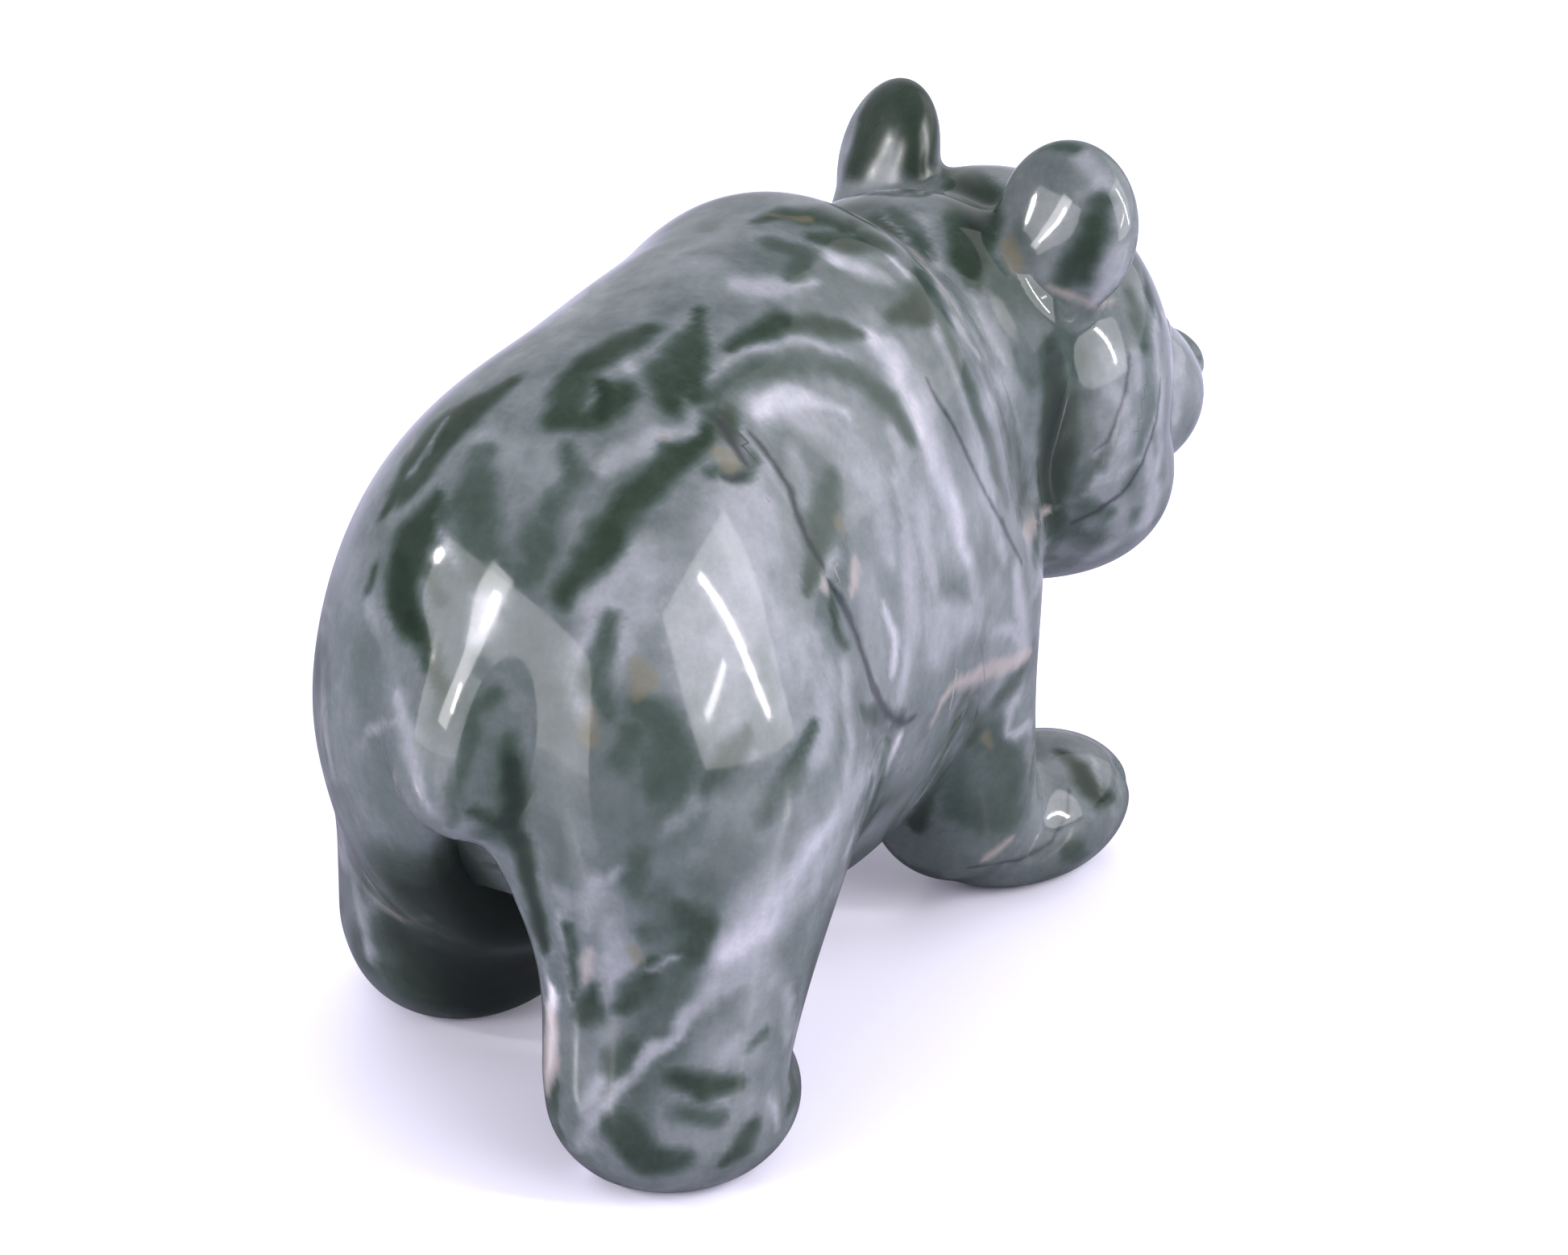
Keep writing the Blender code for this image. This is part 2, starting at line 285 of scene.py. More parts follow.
SOLE_ROUND = 1.2
GRAIN = 0.51
SMOOTHING, SMOOTHING_PASSES = 0.5, 2
CUTS_A_ROUND, DEEPEST_CUT = 3, 2
PROBE, LEAST_STEEPNESS = 0.05, 0.25
PANDA = figure()


def skin_depth(points):
    """Depth under the finished skin: the figure, standing on soles with softly rounded edges."""
    return -soft_least(-PANDA.depth(points), points[:, 2], SOLE_ROUND)


def blank_from_frame():
    """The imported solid, its loose triangles merged, in shares."""
    mesh = frame["nodes"]["panda"].data.copy()
    merged = bmesh.new()
    merged.from_mesh(mesh)
    bmesh.ops.remove_doubles(merged, verts=merged.verts, dist=1e-6)
    merged.to_mesh(mesh)
    merged.free()
    mesh.materials.clear()
    mesh.transform(TO_METRES.inverted())
    blank = bpy.data.objects.new("panda_carving", mesh)
    bpy.context.scene.collection.objects.link(blank)
    return blank


def apply_modifier(block, kind, **settings):
    modifier = block.modifiers.new(kind.title(), kind)
    for name, value in settings.items():
        setattr(modifier, name, value)
    shown = block.evaluated_get(bpy.context.evaluated_depsgraph_get())
    worked = bpy.data.meshes.new_from_object(shown)
    block.modifiers.clear()
    block.data = worked


def points_of(mesh):
    points = np.empty(len(mesh.vertices) * 3, np.float32)
    mesh.vertices.foreach_get("co", points)
    return points.reshape(-1, 3).astype(float)


def move_points(mesh, points):
    mesh.vertices.foreach_set("co", points.astype(np.float32).ravel())
    mesh.update()


def work_down(block, rounds):
    """Moves the skin along the figure's own slope until it lies on it, evening it out on the way."""
    for _ in range(rounds):
        apply_modifier(block, "SMOOTH", factor=SMOOTHING, iterations=SMOOTHING_PASSES)
        points = points_of(block.data)
        for _ in range(CUTS_A_ROUND):
            depth = skin_depth(points)
            ways = np.eye(3) * PROBE
            slope = np.stack([skin_depth(points + way) - depth for way in ways], 1) / PROBE
            steepness = np.maximum((slope**2).sum(axis=1), LEAST_STEEPNESS)
            points -= slope * np.clip(depth / steepness, -DEEPEST_CUT, DEEPEST_CUT)[:, None]
        move_points(block.data, points)


# The fine skin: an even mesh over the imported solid, worked down onto the form itself.

TO_METRES = Matrix.Scale(SHARE, 4) @ Matrix.Translation((-MIDDLE[0], -MIDDLE[1], 0))
carving = blank_from_frame()
apply_modifier(carving, "REMESH", mode="VOXEL", voxel_size=GRAIN)
work_down(carving, rounds=2)

# The viewpoint: behind the animal, over its right haunch. The stone's markings are placed from it.

PHOTO_WIDE, PHOTO_HIGH = 1946, 1557
VIEW_AZIMUTH, VIEW_RISE, VIEW_DISTANCE = 210, 25, 345
VIEW_TARGET = (-2.6, 1.1, 30)
LENS, SENSOR = 100, 36


def direction(azimuth, rise):
    """The way out to a point of the compass: 0 is in front of the face and 90 at its left."""
    azimuth, rise = math.radians(azimuth), math.radians(rise)
    level = math.cos(rise)
    return Vector((math.sin(azimuth) * level, -math.cos(azimuth) * level, math.sin(rise)))


def stand(name, data, azimuth, rise, distance, target):
    thing = bpy.data.objects.new(name, data)
    bpy.context.scene.collection.objects.link(thing)
    out = direction(azimuth, rise)
    thing.location = Vector(target) + out * distance
    thing.rotation_mode = "QUATERNION"
    thing.rotation_quaternion = out.to_track_quat("Z", "Y")
    return thing


camera_data = bpy.data.cameras.new("camera")
camera_data.lens = LENS
camera_data.sensor_width = SENSOR
camera_data.clip_start = 0.01
camera_data.clip_end = 20
view_target = TO_METRES @ Vector(VIEW_TARGET)
camera = stand("camera", camera_data, VIEW_AZIMUTH, VIEW_RISE, VIEW_DISTANCE * SHARE, view_target)
bpy.context.scene.camera = camera

# The markings: each layer of the stone is a set of routes along the skin, and some routes paint shade,
# highlights and sheen instead. A stop on a route is its place in the photo's frame, across and down in pixels, and the
# marking's half width there.

PALE_AND_PAINTED_HIGHLIGHTS = [
    [(935, 600, 16), (930, 680, 34), (930, 760, 34), (905, 800, 24)],
    [(800, 690, 30), (760, 760, 44), (740, 830, 34), (728, 880, 14)],
    [(945, 508, 20), (985, 500, 26), (1040, 540, 30), (1085, 600, 26), (1100, 690, 18)],
    [(745, 585, 8), (775, 562, 14), (812, 545, 13), (858, 528, 8)],
    # Painted highlight: the mirrored light along the right shoulder.
    [(1110, 430, 14), (1140, 480, 28), (1165, 560, 26), (1190, 660, 24), (1222, 780, 14)],
    [(1112, 590, 10), (1128, 680, 18), (1132, 780, 20), (1120, 860, 14)],
    [(1035, 318, 16), (1070, 330, 19), (1100, 345, 12)],
    [(925, 352, 20), (965, 360, 22), (1000, 345, 10)],
    [(495, 860, 10), (505, 905, 16), (515, 960, 12), (540, 1012, 7)],
    [(600, 740, 14), (595, 790, 14)],
    [(734, 1098, 12), (733, 1120, 16), (726, 1150, 8)],
    [(770, 1080, 10), (756, 1095, 7)],
    [(1052, 1005, 34), (1010, 1070, 46), (960, 1124, 50), (922, 1178, 34), (888, 1226, 18), (845, 1270, 10)],
    [(845, 1272, 9), (780, 1338, 8), (742, 1385, 8), (716, 1420, 12)],
    [(1050, 830, 14), (1056, 930, 14), (1052, 1000, 12)],
    # Painted reflection: the bright rim down the right edge of the chest.
    [(1262, 710, 18), (1272, 800, 22), (1262, 870, 14)],
    # Painted highlight: the bright rim down the side of the face.
    [(1434, 400, 8), (1440, 480, 12), (1440, 560, 13), (1428, 620, 14)],
    [(1372, 480, 12), (1395, 500, 12)],
    [(985, 1262, 10), (990, 1300, 10)],
    [(1108, 540, 10), (1132, 610, 20), (1156, 690, 20), (1165, 740, 10)],
    [(1010, 800, 20), (1030, 860, 26), (1020, 930, 24)],
    [(1425, 560, 12), (1436, 610, 14), (1420, 650, 16)],
    [(1400, 520, 10), (1380, 580, 12), (1345, 610, 8)],
    [(885, 1362, 9), (900, 1366, 8)],
    [(760, 1160, 12), (768, 1190, 17), (762, 1218, 8)],
    [(1100, 905, 14), (1075, 965, 24), (1052, 1005, 28)],
    [(752, 1150, 14), (762, 1190, 16), (760, 1215, 8)],
    [(913, 1290, 10), (910, 1308, 13)],
    [(740, 1340, 10), (732, 1365, 13), (722, 1382, 7)],
    [(1000, 800, 16), (1004, 830, 18), (1030, 842, 14)],
    [(1036, 690, 12), (1022, 724, 11)],
    [(1150, 395, 8), (1186, 440, 19), (1210, 520, 24), (1226, 600, 22), (1246, 690, 12)],
    [(1385, 310, 20), (1384, 345, 17), (1360, 372, 10)],
    [(1340, 600, 8), (1385, 590, 10), (1420, 560, 8), (1436, 510, 6)],
    # Painted highlight: the bright streak along the muzzle.
    [(1462, 420, 24), (1462, 470, 24), (1458, 520, 14)],
    [(1165, 800, 26), (1172, 760, 20), (1230, 780, 12), (1268, 790, 8)],
    [(1255, 880, 10), (1250, 910, 8), (1268, 905, 10), (1290, 900, 12)],
    [(560, 1105, 6), (500, 1090, 14), (455, 1130, 12), (462, 1190, 8)],
    [(1395, 1010, 10), (1390, 1045, 14), (1370, 1062, 10)],
    [(955, 1365, 6), (960, 1374, 9), (968, 1392, 6)],
    [(955, 740, 8), (965, 790, 18), (978, 832, 12)],
    [(948, 625, 12), (955, 684, 15)],
    [(975, 1225, 9), (980, 1285, 12)],
    [(1350, 195, 14), (1374, 225, 14)],
    [(1408, 440, 9), (1412, 480, 10)],
    [(405, 690, 8), (399, 800, 12), (401, 900, 12), (412, 965, 8)],
    [(438, 1080, 10), (452, 1140, 14), (464, 1185, 9)],
    [(778, 447, 9), (792, 458, 9)],
]

MOSS = [
    [(810, 1090, 20), (850, 1110, 30), (850, 1180, 30), (820, 1260, 34), (800, 1330, 34), (780, 1390, 26)],
    [(880, 280, 18), (960, 262, 30), (1060, 262, 34), (1130, 290, 24)],
    [(800, 950, 20), (820, 1000, 40), (800, 1060, 30)],
    [(1220, 900, 30), (1230, 960, 44), (1250, 1010, 40)],
    [(1330, 470, 14), (1360, 560, 30), (1390, 600, 30), (1410, 540, 16)],
    [(1330, 650, 20), (1380, 670, 24), (1410, 640, 14)],
    [(1240, 330, 16), (1268, 400, 26), (1282, 470, 20)],
    [(450, 1180, 40), (500, 1230, 40), (560, 1250, 30)],
]

CHALK_AND_PAINTED_LIGHT = [
    # Painted light: the crease between the right thigh and the belly, lightened against its shade.
    [(1116, 915, 10), (1094, 960, 24), (1072, 1012, 28), (1056, 1048, 16)],
    [(684, 1232, 10), (682, 1290, 14), (676, 1350, 8)],
]

THREADS = [
    [(914, 529, 2), (930, 548, 4), (950, 572, 6), (968, 602, 5), (986, 640, 2)],
    [(875, 478, 2), (900, 456, 4), (935, 436, 5), (985, 424, 6), (1040, 430, 5), (1084, 456, 4), (1110, 480, 3)],
    [(826, 547, 3), (850, 528, 6), (866, 518, 3)],
    [(1102, 268, 2), (1126, 302, 5), (1156, 335, 4), (1176, 372, 3), (1200, 430, 4), (1240, 520, 2)],
    [(1205, 350, 3), (1222, 405, 4), (1246, 450, 2)],
    [(924, 1217, 4), (890, 1238, 6), (860, 1257, 6), (806, 1305, 6), (774, 1345, 6), (742, 1388, 5), (714, 1428, 9)],
    [(1328, 268, 1), (1342, 243, 3), (1362, 228, 3), (1380, 224, 1)],
    [(1434, 380, 3), (1438, 400, 6), (1430, 412, 4)],
    [(1296, 640, 2), (1318, 628, 2), (1350, 612, 2)],
    [(1060, 925, 2), (1095, 900, 5), (1122, 885, 3)],
    [(1075, 985, 4), (1095, 962, 6), (1120, 940, 2)],
    [(1200, 505, 2), (1222, 570, 4), (1240, 640, 3)],
    [(1150, 640, 3), (1156, 720, 5), (1150, 800, 3)],
    [(505, 590, 3), (530, 560, 6), (552, 520, 3)],
    [(541, 640, 2), (552, 672, 5), (566, 694, 3)],
    [(690, 1130, 4), (700, 1180, 6), (705, 1240, 4)],
    [(440, 930, 2), (470, 905, 5), (492, 890, 3)],
    [(760, 1240, 3), (800, 1205, 4), (840, 1190, 3)],
    [(1351, 933, 2), (1362, 962, 3), (1366, 993, 2)],
    [(1372, 945, 2), (1384, 966, 3), (1391, 985, 2)],
    [(1345, 1006, 3), (1354, 1010, 3)],
    [(1380, 1010, 3), (1388, 1014, 3)],
]

MILKY = [
    [(905, 620, 26), (900, 720, 50), (885, 800, 54), (885, 880, 36), (893, 940, 14)],
    [(945, 580, 14), (962, 640, 20), (980, 700, 26), (985, 780, 38), (1000, 870, 40), (1004, 930, 26)],
    [(1060, 640, 20), (1075, 720, 26), (1090, 800, 26), (1085, 860, 20)],
    [(1130, 560, 16), (1165, 640, 24), (1190, 700, 20)],
    [(1140, 270, 8), (1160, 330, 12)],
    [(1200, 335, 14), (1222, 400, 22), (1246, 470, 26), (1215, 520, 22)],
    [(1140, 740, 20), (1180, 800, 24), (1240, 740, 24)],
    [(664, 1090, 10), (672, 1150, 11), (678, 1225, 9)],
    [(684, 930, 8), (690, 1060, 9), (700, 1120, 8)],
    [(1345, 470, 18), (1372, 530, 18), (1356, 560, 10)],
    [(1370, 610, 22), (1400, 660, 20), (1360, 690, 16)],
    [(1375, 440, 14), (1402, 500, 22), (1396, 580, 22), (1366, 640, 18)],
    [(930, 1160, 22), (952, 1230, 34), (930, 1300, 26)],
    [(985, 560, 14), (1000, 620, 16)],
    [(460, 735, 9), (463, 792, 14)],
    [(570, 740, 8), (572, 792, 12)],
    [(556, 925, 7), (558, 962, 9)],
    [(815, 1036, 10), (872, 985, 14), (935, 935, 10)],
    [(1212, 420, 14), (1240, 480, 16)],
    [(975, 740, 18), (990, 800, 26), (1000, 840, 20)],
]

GREY = [
    [(870, 310, 14), (920, 310, 26), (980, 340, 44), (1050, 350, 50), (1095, 350, 40), (1105, 400, 24)],
    [(450, 800, 26), (470, 900, 34), (500, 1040, 34), (480, 1180, 30)],
    [(560, 640, 20), (560, 720, 26), (560, 880, 36), (600, 960, 40)],
    [(690, 860, 16), (680, 950, 22), (690, 1080, 20)],
    [(745, 760, 22), (745, 850, 36), (760, 950, 36), (790, 1080, 40), (830, 1130, 40)],
    [(1268, 300, 24), (1285, 370, 26), (1278, 440, 20)],
    [(1345, 400, 20), (1340, 440, 16), (1338, 540, 18), (1332, 620, 18)],
    [(740, 660, 10), (760, 700, 16), (745, 740, 14)],
    [(1150, 900, 16), (1180, 870, 18), (1150, 970, 20)],
]

WHITE_AND_PAINTED_HIGHLIGHT = [
    [(1040, 1015, 12), (1000, 1070, 16), (955, 1135, 20), (905, 1185, 12)],
    [(1098, 750, 8), (1110, 790, 12), (1108, 830, 10)],
    # Painted highlight: the mirrored light along the right shoulder.
    [(1080, 415, 12), (1112, 450, 22), (1140, 520, 20), (1168, 590, 20), (1187, 650, 18), (1200, 700, 8)],
    [(945, 508, 10), (960, 500, 14), (1000, 492, 12), (1052, 512, 9)],
    [(1092, 300, 6), (1120, 332, 5), (1185, 400, 8), (1212, 440, 8)],
    [(1035, 322, 9), (1070, 332, 10)],
]

# Painted sheen: the pale lavender glow of mirrored light along the top of the back.
PAINTED_SHEEN_ON_BACK = [
    [(560, 500, 20), (640, 440, 26), (740, 385, 26), (800, 370, 18)],
    [(640, 430, 22), (760, 360, 30), (850, 320, 34), (930, 270, 28), (1000, 245, 22), (1090, 225, 16)],
    [(1040, 225, 14), (1160, 195, 14), (1230, 200, 12)],
]

DEEP_AND_PAINTED_SHADE = [
    [(745, 474, 8), (752, 500, 10), (742, 520, 8)],
    [(496, 712, 16), (500, 756, 16), (512, 790, 10)],
    [(1190, 220, 10), (1200, 250, 16), (1205, 290, 12)],
    # Painted shade: the back of the cheek, in the shadow of a crease.
    [(1304, 452, 13), (1310, 500, 20), (1309, 560, 21), (1303, 635, 14)],
    # Painted shade, partly dark stone: the gap between the hind legs.
    [(636, 955, 8), (641, 988, 12), (634, 1024, 12)],
    [(648, 1045, 13), (658, 1100, 16), (667, 1150, 14), (672, 1182, 8)],
    [(898, 516, 5), (905, 530, 6)],
    [(1338, 950, 8), (1352, 972, 12), (1362, 985, 8)],
]

GREEN = [
    [(868, 500, 8), (900, 488, 13), (940, 462, 17), (1013, 447, 18), (1070, 466, 19), (1110, 503, 18), (1134, 552, 12)],
    [(1035, 600, 14), (1026, 645, 24), (1012, 690, 15), (1000, 730, 8)],
    [(634, 925, 12), (642, 980, 24), (630, 1035, 24)],
    [(1258, 352, 12), (1300, 385, 24), (1322, 420, 20), (1332, 452, 12)],
    [(1322, 650, 8), (1300, 690, 14)],
    [(1345, 592, 12), (1335, 622, 14), (1372, 640, 12)],
    [(762, 770, 12), (738, 840, 18), (760, 880, 12)],
    [(812, 1108, 16), (842, 1150, 18), (800, 1160, 12)],
    [(845, 1385, 14), (892, 1392, 12)],
    [(790, 912, 12), (772, 950, 14)],
    [(1115, 1074, 14), (1160, 1086, 13)],
    [(530, 700, 10), (545, 740, 10)],
    [(545, 850, 8), (552, 885, 13)],
    [(600, 560, 14), (585, 620, 26), (600, 690, 26), (640, 712, 18)],
    [(690, 620, 16), (672, 660, 24), (655, 705, 16)],
    [(612, 865, 8), (588, 898, 10), (576, 945, 9), (566, 990, 12), (565, 1018, 8)],
    [(806, 880, 14), (828, 905, 26), (830, 945, 24), (800, 980, 12)],
    [(930, 905, 10), (905, 945, 20), (880, 975, 14)],
    [(790, 1060, 14), (780, 1100, 16)],
    [(1010, 910, 10), (985, 960, 16), (955, 1010, 14)],
    [(1060, 1120, 8), (1036, 1185, 12), (1020, 1210, 8)],
    [(950, 1285, 8), (930, 1300, 9)],
    [(1150, 330, 12), (1172, 400, 14), (1200, 470, 12), (1225, 540, 12), (1250, 620, 8)],
    [(1110, 262, 12), (1135, 290, 12), (1150, 320, 8)],
    [(960, 300, 14), (1000, 312, 17), (980, 345, 9)],
    [(1290, 182, 8), (1316, 178, 14), (1345, 186, 8)],
    [(1395, 345, 8), (1412, 380, 14), (1420, 430, 10)],
    [(1300, 770, 6), (1262, 845, 18), (1240, 868, 14)],
    [(1180, 930, 16), (1195, 1000, 22), (1235, 1010, 26), (1262, 960, 20), (1240, 920, 10)],
    [(1330, 1050, 14), (1350, 1080, 12)],
    [(880, 590, 10), (925, 590, 12), (940, 560, 8)],
    [(700, 560, 10), (715, 590, 16), (700, 625, 14)],
]

DARK_AND_PAINTED_SHADE = [
    [(874, 533, 14), (830, 575, 20), (790, 614, 21), (744, 672, 18), (696, 734, 15)],
    [(640, 470, 8), (600, 500, 18), (560, 535, 28), (525, 575, 27), (500, 612, 18)],
    [(1010, 290, 12), (1050, 298, 16), (1098, 300, 18)],
    # Painted shade: the back of the cheek, in the shadow of a crease.
    [(1290, 640, 12), (1284, 692, 13)],
    # Painted shade, partly dark stone: the gap between the hind legs.
    [(590, 1004, 7), (620, 1020, 11), (645, 1045, 12)],
    [(696, 522, 18), (702, 488, 20), (726, 458, 19), (762, 434, 20), (806, 410, 12)],
    [(696, 522, 18), (722, 526, 19), (758, 508, 20), (776, 482, 18)],
    [(862, 410, 10), (850, 444, 25), (838, 478, 27), (834, 502, 16)],
    [(871, 385, 8), (868, 440, 12), (866, 500, 11)],
    [(905, 436, 8), (935, 415, 13), (975, 400, 15), (1020, 402, 15), (1066, 414, 9)],
    [(625, 483, 7), (581, 506, 19), (541, 533, 25), (514, 568, 23), (492, 608, 16), (477, 636, 7)],
    [(541, 614, 8), (528, 648, 27), (508, 676, 31), (496, 712, 24), (500, 756, 20), (520, 800, 15), (548, 856, 7)],
    [(469, 700, 5), (458, 730, 6)],
    [(903, 506, 10), (893, 524, 15), (905, 540, 10)],
    [(940, 272, 8), (975, 262, 15), (1020, 268, 15), (1050, 280, 8)],
    [(1048, 282, 10), (1090, 276, 15), (1128, 300, 14), (1150, 345, 17), (1140, 385, 20), (1110, 398, 10)],
    [(1188, 205, 24), (1204, 240, 38), (1204, 285, 32), (1204, 325, 26), (1206, 348, 15)],
    [(1372, 248, 12), (1354, 290, 20), (1337, 335, 22), (1322, 356, 12)],
    # Painted shade: the back and the bottom of the cheek, in the shadow of a crease.
    [(1302, 436, 20), (1310, 490, 29), (1312, 550, 30), (1306, 600, 28), (1300, 650, 20)],
    [(1318, 634, 9), (1308, 652, 16), (1300, 664, 10)],
    [(1110, 95, 40), (1090, 140, 46), (1068, 195, 36), (1050, 212, 18)],
    [(1135, 105, 34), (1145, 150, 34), (1140, 195, 30)],
    [(1198, 864, 16), (1204, 888, 24), (1208, 912, 20)],
    [(1190, 900, 10), (1168, 960, 12), (1140, 1030, 10)],
    [(1318, 935, 10), (1338, 950, 16), (1352, 972, 20), (1362, 985, 17), (1378, 985, 10)],
    [(850, 1135, 14), (874, 1150, 20), (860, 1180, 16)],
    [(704, 1150, 7), (705, 1192, 11), (708, 1232, 8)],
    [(738, 1222, 7), (738, 1248, 19), (720, 1262, 12)],
    [(812, 1192, 9), (796, 1228, 18), (776, 1250, 10)],
    [(780, 1300, 12), (768, 1318, 18), (757, 1330, 9)],
    [(845, 1335, 14), (880, 1348, 20), (920, 1345, 9)],
    [(690, 1350, 9), (684, 1380, 13), (700, 1425, 12)],
    [(982, 1325, 10), (988, 1350, 12), (982, 1368, 7)],
    [(935, 1400, 12), (925, 1425, 16), (900, 1440, 8)],
    [(770, 1400, 26), (800, 1440, 26), (840, 1440, 16)],
    [(1198, 862, 14), (1184, 905, 18), (1166, 950, 14)],
    # Painted shade, partly dark stone: the gap between the hind legs.
    [(634, 938, 8), (641, 982, 15), (632, 1025, 16)],
    [(1032, 748, 6), (1036, 775, 10), (1052, 800, 7)],
    [(1070, 880, 6), (1100, 895, 16), (1122, 890, 9)],
    [(1422, 340, 6), (1430, 372, 13), (1440, 395, 7)],
]

CREAM = [
    [(684, 1255, 14), (682, 1300, 24), (678, 1335, 18), (676, 1362, 8)],
    [(732, 1180, 5), (730, 1200, 8), (724, 1216, 4)],
    [(1061, 695, 5), (1061, 715, 8), (1058, 735, 5)],
    [(1020, 724, 6), (1024, 732, 5)],
    [(1186, 848, 7), (1215, 838, 13), (1245, 828, 13), (1278, 810, 11)],
    [(1186, 848, 7), (1168, 872, 6), (1156, 902, 3)],
    [(1255, 1040, 4), (1238, 1054, 6), (1222, 1066, 4)],
    [(1272, 660, 12), (1284, 650, 13), (1300, 636, 4)],
    [(1442, 390, 4), (1450, 402, 5), (1460, 408, 2)],
    [(1302, 356, 1), (1335, 368, 2), (1362, 382, 2), (1385, 372, 1)],
    [(1128, 308, 2), (1142, 322, 5), (1152, 332, 3)],
]

INK = [
    [(893, 524, 6), (906, 546, 5), (921, 568, 4), (927, 576, 2)],
    [(930, 536, 3), (962, 575, 4), (978, 603, 5), (990, 640, 6), (1004, 672, 6), (1021, 706, 4)],
    [(1028, 722, 4), (1044, 745, 8), (1058, 775, 7), (1072, 810, 6), (1082, 850, 9), (1100, 885, 6)],
    [(1100, 885, 5), (1120, 898, 6), (1136, 890, 3)],
    [(1150, 470, 2), (1178, 520, 3), (1212, 590, 3), (1245, 650, 4), (1268, 700, 3)],
    [(1440, 470, 2), (1436, 520, 2), (1418, 575, 3), (1392, 612, 4), (1360, 634, 4), (1330, 650, 2)],
    [(1326, 979, 2), (1325, 1010, 2), (1305, 1046, 2), (1262, 1067, 2), (1200, 1076, 2)],
    [(1404, 440, 1), (1396, 490, 2), (1376, 545, 3), (1358, 560, 1)],
    [(925, 590, 4), (906, 598, 5), (895, 592, 3)],
]

OCHRE = [
    [(800, 828, 12), (812, 845, 15), (805, 865, 8)],
    [(738, 885, 10), (734, 902, 13), (742, 915, 8)],
    [(1019, 525, 5), (1024, 532, 5)],
    [(1000, 505, 4), (1003, 512, 4)],
    [(819, 540, 5), (822, 548, 6)],
    [(893, 558, 12), (905, 570, 14), (902, 585, 7)],
    [(1042, 640, 9), (1046, 655, 10)],
    [(785, 1180, 8), (790, 1192, 9)],
    [(1225, 915, 8), (1228, 925, 7)],
    [(950, 264, 6), (1006, 268, 7)],
    [(1253, 300, 14), (1262, 330, 12)],
]

WASH_AND_PAINTED_SHEEN = [
    [(600, 545, 16), (650, 560, 26), (690, 590, 20)],
    [(900, 640, 60), (880, 780, 80)],
    [(1060, 520, 60), (1110, 640, 70), (1130, 800, 60), (1100, 930, 40), (1020, 1050, 50), (900, 1200, 40)],
    # These two are partly painted sheen: the pale glow of mirrored light along the top of the back.
    [(620, 400, 40), (760, 340, 44), (900, 300, 50), (1050, 330, 60), (1150, 470, 50), (1220, 640, 40)],
    [(900, 220, 40), (1050, 190, 40), (1230, 170, 30)],
    [(1270, 260, 40), (1280, 400, 40)],
    [(1380, 300, 44), (1390, 200, 34)],
    [(1390, 470, 30), (1400, 640, 40), (1330, 680, 26)],
    [(1450, 400, 30), (1470, 480, 34)],
    [(1220, 770, 50), (1260, 860, 30)],
    [(1240, 1010, 30), (1330, 1010, 30)],
    [(740, 1130, 40), (760, 1240, 40)],
    [(900, 1300, 50), (860, 1400, 40), (960, 1370, 20)],
]

# Each group of patches: how light its stone is, from the darkest green at 0 to white at 1, how wide
# its soft edge is at most, in shares, and its routes. A later group lies over those before it.
# Some of these routes are painted shade, painted highlights and painted sheen, not markings in the stone.
PATCHES = (
    (0.60, 5.0, WASH_AND_PAINTED_SHEEN), (0.37, 5.0, MOSS), (0.58, 5.0, PAINTED_SHEEN_ON_BACK), (0.65, 2.6, MILKY), (0.46, 4.0, GREY),
    (0.72, 2.8, PALE_AND_PAINTED_HIGHLIGHTS), (0.84, 2.4, WHITE_AND_PAINTED_HIGHLIGHT), (0.33, 2.2, GREEN), (0.19, 1.4, DARK_AND_PAINTED_SHADE), (0.03, 1.6, DEEP_AND_PAINTED_SHADE),
    (0.72, 1.0, THREADS), (1.00, 2.0, CHALK_AND_PAINTED_LIGHT)
)
GROUND = 0.53
# Painted shade: the stone is darkened between the hind legs, where little light reaches.
PAINTED_SHADE_BETWEEN_LEGS, PAINTED_SHADE_BETWEEN_LEGS_LEVEL, PAINTED_SHADE_BETWEEN_LEGS_EDGE = Egg((6, 26, 13), (11, 17, 18)), 0.0, 5
# A slim patch has a crisper edge than a broad one: as a share of its half width, but never less
# than this many shares.
EDGE_BY_WIDTH, LEAST_EDGE = 1.5, 0.9
VEINS = {"cream": CREAM, "ink": INK}

# A step along a route, in photo pixels, and how far two neighbouring steps can be apart on the
# skin, in shares, before the route has jumped from one mass to another.
ROUTE_STEP = 9
OCHRE_EDGE = 1.6
LEFT_EAR = Egg((7.6, -33.8, 58.5), (8, 8, 8))
POCKET_MATT = 2
LONGEST_JUMP = 3.5
PHOTO_PIXELS_A_SHARE = 15.67
FAR_FROM_ROUTE = -2.6

# How a marking's edge wanders: over what length, and how far, in shares.
WANDERS = ((8, 0.6), (2.6, 0.5), (1.1, 0.25))


def seen_spot(skin, across, down):
    """Where a place in the photo's frame falls on the skin, in shares, or None beside it."""
    scale = SENSOR / LENS / PHOTO_WIDE
    way = Vector(((across - PHOTO_WIDE / 2) * scale, (PHOTO_HIGH / 2 - down) * scale, -1))
    start = TO_METRES.inverted() @ camera.location
    return skin.ray_cast(start, camera.rotation_quaternion @ way.normalized())[0]


